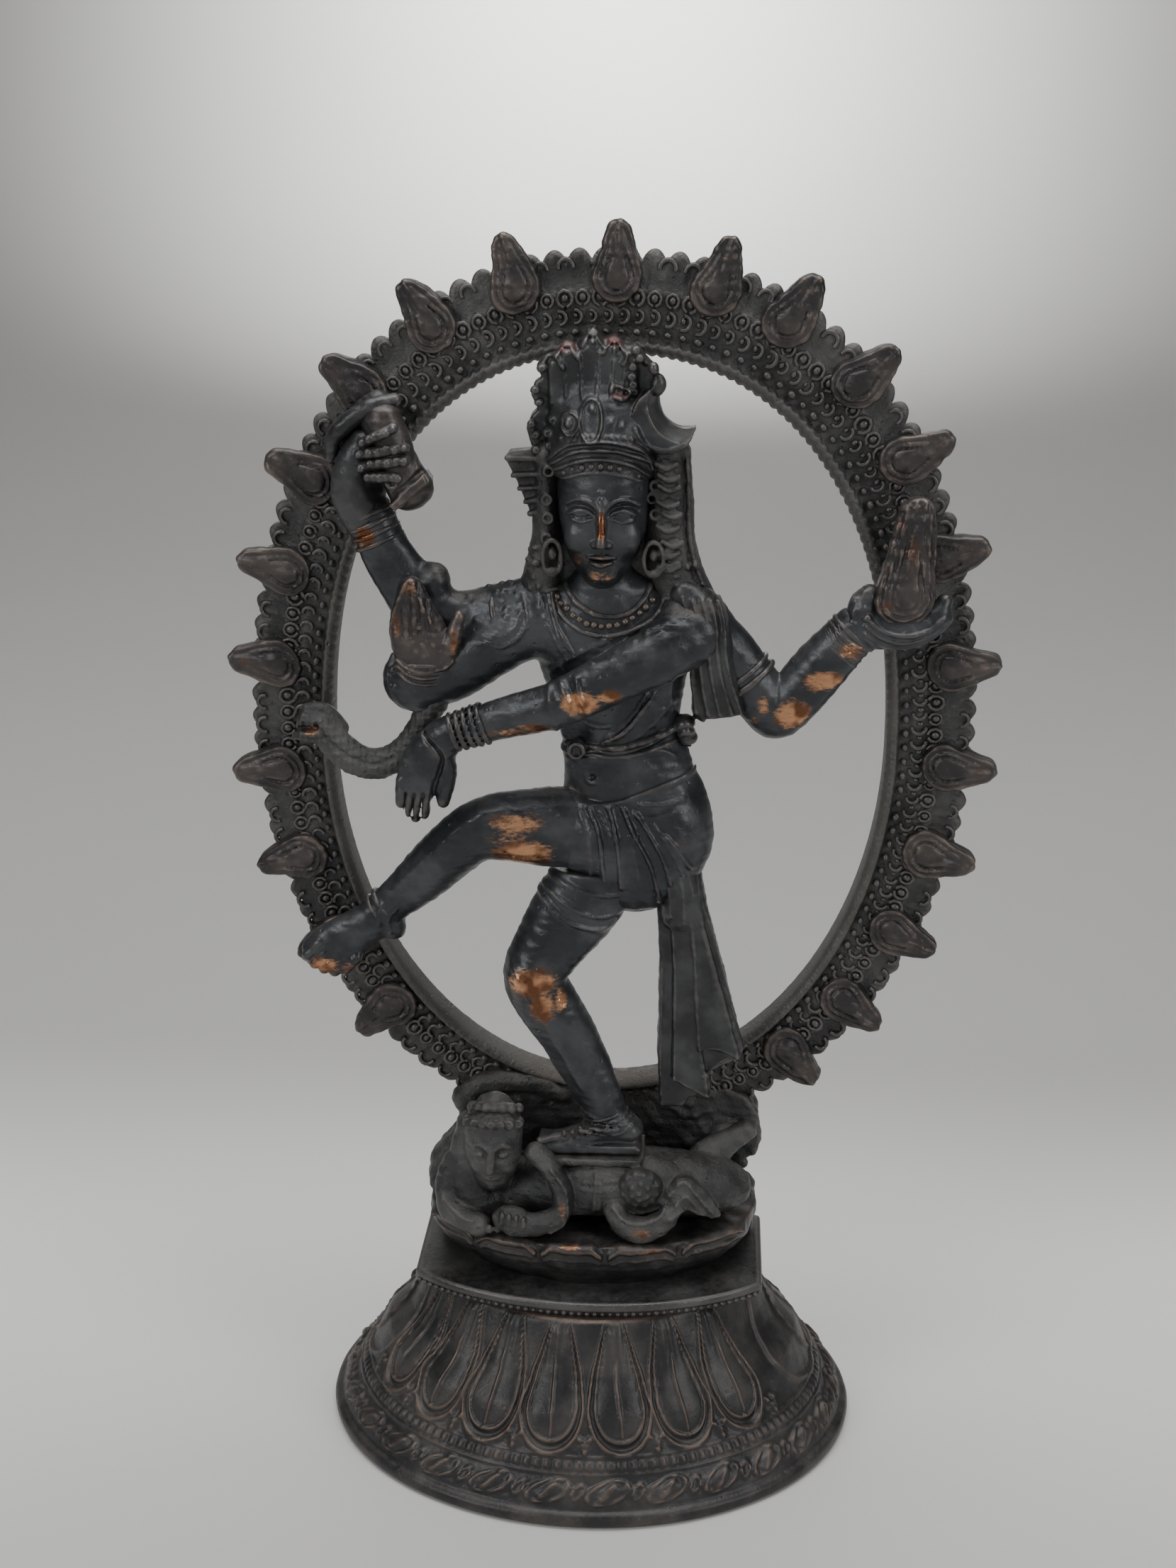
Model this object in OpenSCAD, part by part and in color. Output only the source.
// Nataraja: a four-armed dancer in a ring of flames, standing on a dwarf over a lotus pedestal.
// Cast brass under a black patina. Front faces -Y, up is +Z, origin on the floor under the middle of the pedestal.

/* [Pedestal] */
// Width of the pedestal at the floor
base_w = 96; // [80:1:120]
// Depth of the pedestal as a share of its width
base_ratio = 0.86; // [0.7:0.02:1]
// Height of the hollow dome under the collar plate
dome_h = 30; // [24:1:40]
// Wall of the hollow dome
wall = 3; // [2:0.5:4]

/* [Collar and seat] */
// Thickness of the collar plate
collar_t = 3; // [2:0.5:5]
// Width of the collar plate between its two straight ends
collar_w = 62; // [50:1:70]
// Height of the lotus seat
seat_h = 9.5; // [8:0.5:14]

/* [Flame arch] */
// Width across the opening of the arch
arch_open_w = 95.4; // [84:1:110]
// Height of the opening of the arch
arch_open_h = 130.3; // [110:1:150]
// Width of the beaded band
band_w = 8; // [6:0.5:10]
// Width of the thin scalloped edge outside the band
edge_w = 6.5; // [4:0.5:9]
// Number of flames to each side of the top flame
side_flames = 11; // [7:1:12]
// Spacing of the flame tips on the dancer's left side
flame_pitch = 17.8; // [14:0.1:22]
// Spacing of the flame tips on the dancer's right side
flame_pitch_right = 18.5; // [14:0.1:22]

/* [Fixing] */
// Shank diameter of the bolt that holds the upper casting down
bolt_d = 5; // [4:1:6]
// Length of the bolt under its head
bolt_l = 15; // [12:1:18]

/* [Hidden] */
$fn = 48;
EPS = 0.01;

// Levels
z_collar = dome_h;
z_seat = dome_h + collar_t;
z_back = z_seat + seat_h;

// Arch: its opening stands a little to the dancer's left of the pedestal, and its rings share one centre
arch_x = 1.3;
arch_y = 5;
arch_bottom = 63.3;
// Middle of the arch's curve, then how far the upper and lower halves reach from it, then how square each half is
arch_z = arch_bottom + arch_open_h * 0.493;
arch_up = arch_open_h * 0.507;
arch_down = arch_open_h * 0.493;
power_up = 2.25;
power_down = 2.02;
band_t = 8;
edge_t = 3;
tip_grow = 19;
flame_l = 11;
flame_w = 7.5;
scallops_per_flame = 4;
scallop_h = 1.3;

// Pedestal profile: share of the rim's half width at a share of the dome's height
dome_profile = [[0.964, 0], [0.964, 0.068], [0.972, 0.085], [0.94, 0.16], [0.895, 0.27], [0.83, 0.4], [0.77, 0.54],
                [0.71, 0.67], [0.66, 0.8], [0.62, 0.92], [0.6, 1]];
dome_sides = 48;
petals = 18;

// Collar and seat plans
collar_front = 24;
collar_back = 17;
seat_a = 30;
seat_b = 20;
bolt_clear = 0.25;
washer_r = 6;
washer_t = 1.2;
bolt_head_af = 8;
bolt_head_h = 3.5;
tap_depth = 7;

patina = [0.10, 0.105, 0.105];
brown = [0.22, 0.14, 0.10];
copper = [0.62, 0.34, 0.17];
steel = [0.55, 0.56, 0.58];

// ---------- Points and sweeps ----------

function at(s) = [s[0], s[1], s[2]];
function unit(v) = v / norm(v);
function signed_power(c, p) = sign(c) * pow(abs(c), p);
// Direction of a chain of stations at station i
function heading(st, i) = unit(at(st[min(i + 1, len(st) - 1)]) - at(st[max(i - 1, 0)]));
// Ellipse of half width w across the chain and half depth d, square to the heading t
function hoop(s, t, n) =
    let (u = unit(cross([0, 1, 0], t)), v = cross(t, u))
    [for (k = [0:n - 1]) at(s) + u * s[3] * cos(360 * k / n) + v * s[4] * sin(360 * k / n)];
// Two small stations added past an end of a chain round it off
function end_cap(s, t) =
    let (r = min(s[3], s[4]))
    [[each at(s) + t * r * 0.6, s[3] * 0.78, s[4] * 0.78], [each at(s) + t * r * 0.95, s[3] * 0.3, s[4] * 0.3]];
function rounded(st) =
    let (a = end_cap(st[0], -heading(st, 0)), b = end_cap(st[len(st) - 1], heading(st, len(st) - 1)))
    [a[1], a[0], each st, b[0], b[1]];

// A four-cornered face as two triangles, since its corners rarely lie in one plane
function split(a, b, c, d) = [[a, b, c], [a, c, d]];

// A chain of stations [x, y, z, half width, half depth] skinned as one closed solid with round ends
module limb(stations, n = 12) {
    st = rounded(stations);
    m = len(st);
    points = [for (i = [0:m - 1]) each hoop(st[i], heading(st, i), n)];
    sides = [for (i = [0:m - 2], k = [0:n - 1]) each split(i * n + k, i * n + (k + 1) % n,
        (i + 1) * n + (k + 1) % n, (i + 1) * n + k)];
    polyhedron(points, concat(sides, [[for (k = [n - 1:-1:0]) k]], [[for (k = [0:n - 1]) (m - 1) * n + k]]),
        convexity = 6);
}

// Closed loop of cross-sections: rows is a list of rings, each a list of the same number of points
module closed_loop(rows) {
    m = len(rows);
    n = len(rows[0]);
    polyhedron([for (r = rows) each r],
        [for (i = [0:m - 1], k = [0:n - 1]) each split(i * n + k, i * n + (k + 1) % n,
            ((i + 1) % m) * n + (k + 1) % n, ((i + 1) % m) * n + k)],
        convexity = 10);
}

// An outline in X and Z given a thickness from y0 to y1
module plate_xz(outline, y0, y1) {
    translate([0, y1, 0]) rotate([90, 0, 0]) linear_extrude(y1 - y0) polygon(outline);
}

// Round wire ring of radius r about the axis direction dir
module wire_ring(centre, dir, r, wire) {
    turn = acos(unit(dir)[2]);
    axis = cross([0, 0, 1], unit(dir));
    translate(centre) rotate(a = turn, v = norm(axis) < EPS ? [1, 0, 0] : axis)
        rotate_extrude($fn = 32) translate([r, 0]) circle(wire, $fn = 14);
}

// ---------- Pedestal ----------

function dome_point(p, grow, ang) =
    [(base_w / 2 * p[0] - grow) * cos(ang), (base_w / 2 * p[0] - grow) * base_ratio * sin(ang),
     max(0, p[1] * dome_h - (p[1] > 0.1 ? grow : 0))];

// Hollow dome with its bolt hole: the outer profile goes up and the inner one comes down inside it
module dome_shell() {
    hole = bolt_d / 2 + bolt_clear;
    inside = [for (i = [len(dome_profile) - 1, 8, 6, 4, 3, 0]) dome_profile[i]];
    loop = function (ang) concat(
        [for (p = dome_profile) dome_point(p, 0, ang)],
        [[hole * cos(ang), hole * sin(ang), dome_h], [hole * cos(ang), hole * sin(ang), dome_h - wall]],
        [for (p = inside) dome_point(p, wall, ang)]);
    closed_loop([for (k = [0:dome_sides - 1]) loop(360 * k / dome_sides)]);
}

// Chain of closed rings skinned as one solid with flat ends
module skin(rings) {
    m = len(rings);
    n = len(rings[0]);
    polyhedron([for (r = rings) each r],
        concat([for (i = [0:m - 2], k = [0:n - 1]) each split(i * n + k, i * n + (k + 1) % n,
            (i + 1) * n + (k + 1) % n, (i + 1) * n + k)],
            [[for (k = [n - 1:-1:0]) k]], [[for (k = [0:n - 1]) (m - 1) * n + k]]), convexity = 6);
}

// One raised lotus petal, a long blister half sunk in the dome's shoulder: rows of
// [place on the dome's profile, half width, height over the dome]
petal_rows = [[0.30, 0.6, 0.2], [0.34, 2.6, 0.7], [0.42, 4.4, 0.9], [0.56, 5, 1], [0.7, 4.4, 0.9], [0.8, 3.2, 0.6],
    [0.88, 1.8, 0.2]];
petal_sink = 0.8;
function dome_share(z) = lookup(z, [for (p = dome_profile) if (p[1] > 0.05) [p[1], p[0]]]);
module dome_petal(ang)
    skin([for (row = petal_rows) let (p = [dome_share(row[0]), row[0]], r = base_w / 2 * p[0])
        [for (j = [0:7]) let (turn = 45 * j)
            dome_point(p, petal_sink - (row[2] + petal_sink) * sin(turn), ang + row[1] / r * 57.3 * cos(turn))]]);

module pedestal_dome() color(patina) dome_shell();

module lotus_petals() color(patina)
    for (k = [0:petals - 1]) dome_petal(360 * (k + 0.5) / petals);

function oval(a) = [for (k = [0:dome_sides * 2 - 1]) let (ang = 180 * k / dome_sides)
    [a * cos(ang), a * base_ratio * sin(ang)]];

// Flat band that the pedestal stands on
module foot_rim_shape()
    linear_extrude(2)
        difference() {
            polygon(oval(base_w / 2 + 0.2));
            polygon(oval(base_w / 2 - 1.6));
        }
module foot_rim() color(patina) foot_rim_shape();

// Half ellipse in front and behind, cut straight at both ends
function collar_plan(grow) =
    let (w = collar_w / 2 + grow, front = collar_front + grow, back = collar_back + grow, a = 38)
    [for (k = [0:59]) let (ang = 6 * k, depth = sin(ang) < 0 ? front : back)
        [max(-w, min(w, a * cos(ang))), depth * sin(ang)]];

module collar_plate() color(patina)
    difference() {
        union() {
            translate([0, 0, z_collar]) linear_extrude(1.2) polygon(collar_plan(-1));
            translate([0, 0, z_collar + 1.2]) linear_extrude(collar_t - 1.2) polygon(collar_plan(0));
        }
        translate([0, 0, z_collar - 1]) cylinder(r = bolt_d / 2 + bolt_clear, h = collar_t + 2);
    }

module tie_bolt() color(steel) {
    under = dome_h - wall - washer_t;
    translate([0, 0, under]) cylinder(r = bolt_d / 2, h = bolt_l);
    translate([0, 0, under - bolt_head_h]) cylinder(d = bolt_head_af / cos(30), h = bolt_head_h, $fn = 6);
}

module tie_washer() color(steel)
    translate([0, 0, dome_h - wall - washer_t])
        difference() {
            cylinder(r = washer_r, h = washer_t);
            translate([0, 0, -1]) cylinder(r = bolt_d / 2 + bolt_clear, h = washer_t + 2);
        }

// ---------- Seat and dwarf ----------

// Bowl of drooping petals, flat behind where the back plate stands
module lotus_seat() color(patina)
    difference() {
        intersection() {
            union() {
                seat_lift(0.76, 0, 0.84, 1.5);
                seat_lift(0.84, 1.5, 0.97, 4.5);
                seat_lift(0.97, 4.5, 1.02, 7.5);
                seat_lift(1.02, 7.5, 0.97, seat_h);
            }
            translate([-29.5, -30, z_seat]) cube([59, 32, seat_h]);
        }
        translate([0, 0, z_seat - 1]) cylinder(r = bolt_d / 2, h = tap_depth + 1);
    }

// Elliptical slice of the seat between two heights, with its own size at each
module seat_lift(f0, h0, f1, h1) {
    n = 44;
    slice = function (f, h) [for (k = [0:n - 1]) let (ang = 360 * k / n)
        [seat_a * f * cos(ang), (seat_b + 1) * f * sin(ang), z_seat + h]];
    polyhedron(concat(slice(f0, h0), slice(f1, h1)),
        concat([for (k = [0:n - 1]) each split(k, n + k, n + (k + 1) % n, (k + 1) % n)],
            [[for (k = [0:n - 1]) k]], [[for (k = [n - 1:-1:0]) n + k]]), convexity = 4);
}

// Flat plate behind the seat, with stepped wings, that carries the foot of the arch
module seat_back_plate() color(patina)
    difference() {
        plate_xz([[-28.4, z_seat], [29, z_seat], [29.6, z_seat + 8], [25.4, z_seat + 11], [24, z_seat + 13],
            [24.4, z_seat + 15], [29.4, z_seat + 16.6], [30.2, z_seat + 20], [29.5, z_seat + 25], [24, z_seat + 30],
            [-22, z_seat + 28], [-24.6, z_seat + 19], [-28.6, z_seat + 15], [-30.6, z_seat + 8]], 2, 9.5);
        arch_ring(0, band_w, arch_y - band_t / 2, arch_y + band_t / 2 - 0.5);
    }

module dwarf_body() color(patina) {
    limb([[-12, -10, 47.5, 4.6, 5.5], [-5, -10, 47.6, 5.2, 6.6], [4, -9.5, 47.4, 5.0, 6.8], [13, -9, 47.6, 5.4, 6.6],
        [20, -8, 48, 4.6, 5.6]], 14);
}

module dwarf_head() color(patina) {
    limb([[-16.6, -15.2, 50.6, 4.0, 3.6], [-17, -15, 54, 5.4, 5.2], [-17, -14, 59, 6.0, 5.6],
        [-16.5, -13, 62, 5.0, 4.6]], 14);
}

module dwarf_arms() color(patina) {
    limb([[-8, -14, 51.5, 2.0, 2.0], [-4.6, -17, 47.5, 2.0, 2.0], [-6, -18.5, 44.6, 1.9, 1.9], [-13, -19, 44.2, 1.9, 1.8]], 10);
    limb([[-24, -12, 49, 2.2, 2.2], [-25, -14.5, 46, 2.2, 2.2], [-21, -17.5, 44.6, 2.0, 1.9]], 10);
}

module dwarf_legs() color(patina) {
    limb([[9, -15.5, 50.6, 2.9, 3.2], [12, -16, 50.8, 3.1, 3.4], [15, -15.6, 50.6, 2.8, 3.2]], 10);
    limb([[7, -18, 44.7, 1.8, 1.9], [13, -19, 44.6, 1.9, 2.0], [19, -17.5, 45, 1.9, 2.0], [24.4, -12, 45.6, 1.8, 2]], 10);
    limb([[22, 0.6, 55, 2.2, 2.4], [28.5, 0.8, 56.5, 2.2, 2.6]], 10);
}

// ---------- Flame arch ----------

// Point of the arch's curve at angle ang, grown outwards by g
function arch_point(ang, g) =
    let (up = cos(ang) >= 0, q = up ? 2 / (power_up - g * 0.003) : 2 / power_down,
        reach = up ? arch_up + g * 0.93 : arch_down + g * 0.86)
    [arch_x + g * 0.03 + (arch_open_w / 2 + g * 0.98) * signed_power(sin(ang), q),
     arch_z + g * 0.17 + reach * signed_power(cos(ang), q)];

// Lengths along the curve through the flame tips, to set the flames at an even pitch
function run_build(i, sum, out) =
    i > 180 ? out
    : let (s = i == 0 ? 0 : sum + norm(arch_point(i, tip_grow) - arch_point(i - 1, tip_grow)))
      run_build(i + 1, s, concat(out, [[s, i]]));
run_table = run_build(0, 0, []);
function angle_at(s) = sign(s) * lookup(abs(s), run_table);

module arch_ring(g0, g1, y0, y1) {
    plate = function (g) [for (k = [0:71]) arch_point(5 * k, g)];
    translate([0, y1, 0]) rotate([90, 0, 0]) linear_extrude(y1 - y0)
        difference() {
            polygon(plate(g1));
            polygon(plate(g0));
        }
}

// Beaded band: a low arched section swept round the opening
module arch_band() color(patina) {
    section = [[0, 1.6], [0.4, -2.6], [1.6, -3.6], [4, -4], [6.4, -3.6], [band_w, -1.6], [band_w, 3.2], [0.8, 3.4]];
    closed_loop([for (k = [0:79]) let (ang = 4.5 * k)
        [for (p = section) let (q = arch_point(ang, p[0])) [q[0], arch_y + p[1], q[1]]]]);
}

// Thin edge outside the band, its rim scalloped between the flames
module arch_scalloped_edge() color(patina) {
    count = 2 * side_flames * scallops_per_flame;
    step = flame_pitch / scallops_per_flame;
    rim = [for (k = [-count / 2 - 3:0.25:count / 2 + 3])
        arch_point(angle_at(k * step), band_w + edge_w + 0.4 - scallop_h * (0.5 + 0.5 * cos(360 * k)))];
    back = [for (k = [-count / 2 - 3:1:count / 2 + 3]) arch_point(angle_at(-k * step), band_w + EPS)];
    plate_xz(concat(rim, back), arch_y - edge_t / 2, arch_y + edge_t / 2);
}

// One flame: a drop that stands on the edge and points outwards
module flame(s) {
    ang = angle_at(s);
    tip = arch_point(ang, tip_grow);
    along = arch_point(ang + 1, tip_grow) - arch_point(ang - 1, tip_grow);
    out = unit([-along[1], along[0]]);
    foot = tip - out * flame_l;
    st = function (h, w, d) [foot[0] + out[0] * h, arch_y - 2.2, foot[1] + out[1] * h, w, d];
    limb([st(1.6, flame_w * 0.38, 2.0), st(3.6, flame_w * 0.48, 2.6), st(7, flame_w * 0.36, 2.4),
        st(flame_l - 1.2, flame_w * 0.16, 1.5)], 8);
}
module arch_flames() color(brown)
    for (i = [1 - side_flames:side_flames]) flame(i * (i < 0 ? flame_pitch_right : flame_pitch));

// ---------- Dancer: trunk ----------

module hips_and_skirt() color(patina)
    limb([[5, -4.5, 104.5, 8, 6.4], [6, -4.5, 108, 11.8, 7.4], [7, -4.5, 113, 13, 7.6],
        [6, -4.5, 119, 12.4, 7.0], [4.6, -4.5, 123, 10.8, 6.2]], 16);

module torso() color(patina)
    limb([[4.4, -4.5, 123.5, 10.2, 5.8], [3.9, -4.5, 131, 10, 5.6], [3.4, -4.5, 139, 11.4, 6.2],
        [2.8, -4.5, 147, 13.6, 6.6], [1.5, -4, 152, 13, 5.6], [0.5, -4, 155.5, 7, 4.8], [0.4, -4.2, 159, 5, 4.6]], 16);

module head() color(patina)
    limb([[0.5, -7.2, 161.5, 3.6, 3.2], [0.5, -6.4, 164.5, 6, 5.6], [0.5, -5.6, 169.5, 7.4, 7.2],
        [0.5, -5.2, 174, 7.6, 7.2], [0.5, -4.8, 177.5, 6.6, 6.4]], 16);

module crown() color(patina)
    limb([[0, -4.6, 176.5, 9.4, 7.4], [-0.2, -4, 180, 10, 7], [-0.4, -3, 184, 9.8, 6], [-0.6, -2, 189.5, 9, 5],
        [-0.6, -1.5, 194, 8.8, 4.2]], 16);

// Row of short feathers that stand at the top of the crown
module crown_feathers() color(patina)
    for (i = [-2:2]) limb([[i * 3.7 - 0.3, -5.4, 191.5, 1.5, 1.1], [i * 3.8 - 0.3, -5.8, 195.6 - abs(i) * 0.5, 0.9, 0.8]], 8);

module crescent_moon() color(patina)
    translate([8.2, -1, 183.6]) rotate([90, 0, 0]) rotate([0, 0, -42])
        linear_extrude(5.5) difference() {
            circle(6.2);
            translate([0, 4.1]) circle(5.4);
        }

module hair_fan() color(patina)
    plate_xz([[-8, 165], [-10, 166], [-15.4, 177], [-15.2, 178], [-11, 178.2], [-8, 178]], -5.5, -0.5);

module hair_locks_left() color(patina)
    limb([[10.4, -3.4, 178, 3.8, 4], [10.8, -3.2, 170, 4, 4.2], [11.2, -3.2, 163, 4.2, 4.2], [13.6, -4, 157, 4.2, 3.8],
        [16.4, -5, 153, 3.2, 3.2]], 12);

module hair_locks_right() color(patina)
    limb([[-8.2, -3, 176, 2.6, 3.6], [-8.4, -3, 168, 2.8, 3.8], [-8.4, -3.4, 161, 3.6, 3.8], [-9.6, -4, 157, 3.2, 3.4]], 12);

module earrings() color(patina) {
    wire_ring([-7.4, -7.6, 160.8], [0, 1, 0.1], 1.7, 0.6);
    wire_ring([8.6, -7.6, 160.8], [0, 1, 0.1], 1.9, 0.6);
}

// Round collars hung from the neck: a wire and a wider beaded band
module necklace() color(patina)
    for (g = [0, 2.4])
        limb([for (ang = [-80:16:80]) [0.8 + (7.2 + g) * sin(ang), -8.6 - 1.4 * cos(ang), 157.6 - (6 + g) * cos(ang),
            0.6 + g * 0.25, 0.7]], 8);

// Cord over the dancer's left shoulder to the right hip
module sacred_thread() color(patina)
    limb([[-6.5, -9.6, 153.5, 0.6, 0.6], [-5.4, -10.6, 147, 0.6, 0.6], [-2.5, -11, 141, 0.6, 0.6],
        [1.5, -10.6, 136, 0.6, 0.6], [6, -10.2, 133, 0.6, 0.6]], 8);

module waist_belt() color(patina)
    limb([[-5, -6.5, 131.5, 1.1, 1.2], [-2, -9.6, 130.6, 1.1, 1.2], [4, -10.9, 130.3, 1.1, 1.2],
        [10, -9.6, 131.2, 1.1, 1.2], [13.4, -6.5, 132.6, 1.1, 1.2]], 8);

module waist_knot() color(patina)
    limb([[14.6, -4.5, 133.8, 1.9, 1.9], [15.2, -4.5, 131.2, 1.9, 1.9]], 10);

module shoulder_scarf() color(patina)
    limb([[16, -5.6, 154.5, 3, 3.4], [17.2, -6.2, 149, 3.4, 4], [18.4, -6.4, 142, 4, 3.8],
        [19.2, -6.4, 138.2, 4.4, 3.2]], 12);

module hanging_sash() color(patina)
    plate_xz([[10, 110], [17.8, 110], [18.8, 98], [21.4, 88], [24.6, 78], [27, 70.5], [21.4, 69], [22, 66],
        [20.6, 62.6], [16, 61.6], [11.8, 61.4], [11.6, 86]], -7.5, -2.6);

// ---------- Dancer: arms ----------

shoulder_right = [-11, -4, 151.5];
elbow_right_rear = [-24.5, -2, 148.5];
wrist_right_rear = [-39, -1.5, 165];
elbow_right_front = [-27, -6, 142];
shoulder_left = [15.5, -4, 151.5];
elbow_left_rear = [29.4, -4, 135];
wrist_left_rear = [42.2, -4, 149];
shoulder_left_front = [14, -10, 149.5];
elbow_left_front = [-2.2, -13.4, 140];
wrist_left_front = [-21, -11.5, 134];

module rear_right_arm() color(patina) {
    limb([[each shoulder_right, 5.4, 4.8], [-17, -3, 150.6, 5, 4.4], [-22, -2.2, 148.6, 4.6, 4],
        [each elbow_right_rear, 4.4, 4], [-28.6, -2, 151.6, 4.2, 3.8], [-33, -2, 156.8, 3.9, 3.5],
        [each wrist_right_rear, 3, 2.9]], 12);
}
module rear_right_hand() color(patina)
    limb([[-38.6, -1.6, 166.5, 3, 2.6], [-40.4, -2.2, 171, 4, 3], [-40, -3, 177, 3.8, 3],
        [-37.6, -4, 181.5, 3, 2.4]], 12);
module hand_drum() color(brown) {
    drum_a = [-36.5, -5, 184.5];
    drum_b = [-31.8, -5, 173.4];
    mid = (drum_a + drum_b) / 2;
    limb([[each drum_a, 3.6, 3.4], [each (drum_a + mid) / 2, 3.2, 3.2], [each mid, 2.2, 2.4],
        [each (drum_b + mid) / 2, 3.4, 3.2], [each drum_b, 4, 3.6]], 12);
}

module rear_left_arm() color(patina) {
    limb([[each shoulder_left, 5.2, 4.6], [22, -4, 144.6, 5, 4.2], [27, -4, 138, 4.8, 4],
        [each elbow_left_rear, 4.6, 4], [32.2, -4, 137.8, 4.8, 3.8], [36.8, -4, 143.4, 4.4, 3.6],
        [each wrist_left_rear, 3.5, 3.2]], 12);
}
module rear_left_hand() color(patina)
    limb([[42.8, -4.2, 150.4, 3, 2.8], [46, -4.6, 152.2, 3.6, 3], [50.5, -4.8, 152.6, 3.8, 3], [54, -4.6, 155, 2.6, 2.4]], 12);
module hand_flame() color(brown)
    limb([[49, -4.6, 156.4, 3.6, 2.4], [48.8, -4.8, 160, 4.6, 3], [48.4, -4.6, 165, 3.8, 2.6], [48, -4, 170.4, 1.9, 1.6]], 12);

module front_right_arm() color(patina) {
    limb([[-13, -5.4, 149.6, 4.2, 3.4], [-20, -6, 145.4, 4.4, 3.4], [-25, -6, 141.8, 4.8, 3.6],
        [-28.8, -7, 139.6, 5, 3.8], [-32, -8, 141, 4, 3.4]], 12);
}
module front_right_hand() color(brown)
    limb([[-28.8, -9.2, 143.6, 4, 2.4], [-29.6, -10, 147, 5, 2.8], [-30, -10.2, 152, 4.6, 2.4],
        [-30.2, -9.8, 157.4, 2.2, 1.6]], 12);
module serpent() color(patina)
    limb([[-24, -7.4, 137.6, 2.6, 2.4], [-27, -7, 131, 2.5, 2.4], [-31.5, -6, 125.6, 2.5, 2.4], [-37.5, -5, 123.4, 2.5, 2.4],
        [-43, -4.2, 125.4, 2.5, 2.3], [-46.5, -3.6, 129.4, 2.8, 2], [-50, -3.6, 131.4, 2, 1.5]], 12);

module front_left_arm() color(patina) {
    limb([[each shoulder_left_front, 5.8, 4.6], [6, -12.2, 145, 5.2, 4.4], [each elbow_left_front, 4.4, 3.8],
        [-11, -12.6, 137.4, 4, 3.4], [each wrist_left_front, 3.2, 2.8]], 14);
}
module front_left_hand() color(patina)
    limb([[-23.8, -10.8, 132.6, 2.8, 2.4], [-27.4, -10.2, 129.6, 4.4, 2.7], [-28.6, -10, 124, 4.8, 2.5],
        [-30, -9.8, 117.8, 3.2, 1.8]], 12);

module armlets() color(patina) {
    wire_ring([-16.4, -3.2, 150.2], [-1, 0.1, -0.2], 4.5, 0.6);
    wire_ring(elbow_left_front + [1.2, 0, 0.4], [-1, 0, -0.42], 4.3, 0.7);
    wire_ring([24.6, -4, 140.2], [1, 0, -1.25], 4.2, 0.7);
}
module wrist_bangles() color(patina) {
    for (i = [0:2]) {
        wire_ring(wrist_right_rear + [0.95, 0, -1.2] * i, [-0.62, 0, 0.78], 2.9 + 0.05 * i, 0.6);
        wire_ring(wrist_left_rear - [0.95, 0, 1.2] * i, [0.62, 0, 0.78], 3.1 + 0.05 * i, 0.6);
        wire_ring(wrist_left_front + [1.45, 0, 0.45] * i, [-0.95, 0, -0.3], 3.1 + 0.06 * i, 0.6);
    }
    wire_ring([-29.4, -9.4, 142.6], [0, 0.1, 1], 4, 0.8);
}

// ---------- Dancer: legs ----------

knee_raised = [-19.6, -9.5, 115.2];
ankle_raised = [-38.4, -4.6, 98.4];
knee_standing = [-10.4, -8, 88.2];
ankle_standing = [3.6, -8.6, 59.6];

module raised_leg() color(patina) {
    limb([[3, -6.5, 113.6, 7.4, 6], [-5, -8, 113.8, 7.2, 5.8], [-13, -9.2, 114.6, 6.2, 5], [each knee_raised, 5.1, 4.6],
        [-24.6, -8.4, 110.8, 5, 4.4], [-29.4, -7, 105.4, 4.4, 3.8], [-34, -5.6, 101, 3.5, 3],
        [each ankle_raised, 2.9, 2.8]], 14);
}
module raised_foot() color(patina)
    limb([[-36.6, -4.4, 96.6, 3, 2.8], [-41.5, -4.8, 94.8, 3.6, 2.9], [-46, -5, 92.2, 4.2, 2.6],
        [-49, -5, 90.4, 3.8, 2.2]], 12);
module standing_leg() color(patina) {
    limb([[-0.6, -6, 104.4, 7.6, 6.2], [-4.8, -7, 98, 7, 5.8], [-8.6, -8, 92, 5.8, 5], [each knee_standing, 5.3, 4.8],
        [-8.8, -8, 83.6, 5.3, 4.6], [-5, -7.6, 76, 5.2, 4.4], [-0.6, -8, 67, 4.5, 3.9], [each ankle_standing, 3.6, 3.4]], 14);
}
module standing_foot() color(patina)
    limb([[6.6, -8.8, 55.8, 2.6, 3], [3, -9, 56, 2.7, 3.2], [-2.5, -9.6, 55, 2, 3.4], [-7.6, -10, 54.4, 1.5, 3]], 12);
module anklets() color(patina) {
    for (i = [0:1]) {
        wire_ring(ankle_raised + [1.1, 0, 1] * i, [-0.75, 0, -0.66], 2.8, 0.6);
        wire_ring(ankle_standing - [0, 0, 1.5] * i, [0.15, 0, 1], 3.3, 0.6);
    }
}

pedestal_dome();
lotus_petals();
foot_rim();
collar_plate();
tie_bolt();
tie_washer();
lotus_seat();
seat_back_plate();
dwarf_body();
dwarf_head();
dwarf_arms();
dwarf_legs();
arch_band();
arch_scalloped_edge();
arch_flames();
hips_and_skirt();
torso();
head();
crown();
crown_feathers();
crescent_moon();
hair_fan();
hair_locks_right();
hair_locks_left();
earrings();
necklace();
sacred_thread();
waist_belt();
waist_knot();
shoulder_scarf();
rear_right_arm();
rear_right_hand();
hand_drum();
rear_left_arm();
rear_left_hand();
hand_flame();
front_right_arm();
front_right_hand();
serpent();
front_left_arm();
front_left_hand();
armlets();
wrist_bangles();
raised_leg();
raised_foot();
standing_leg();
standing_foot();
anklets();
hanging_sash();
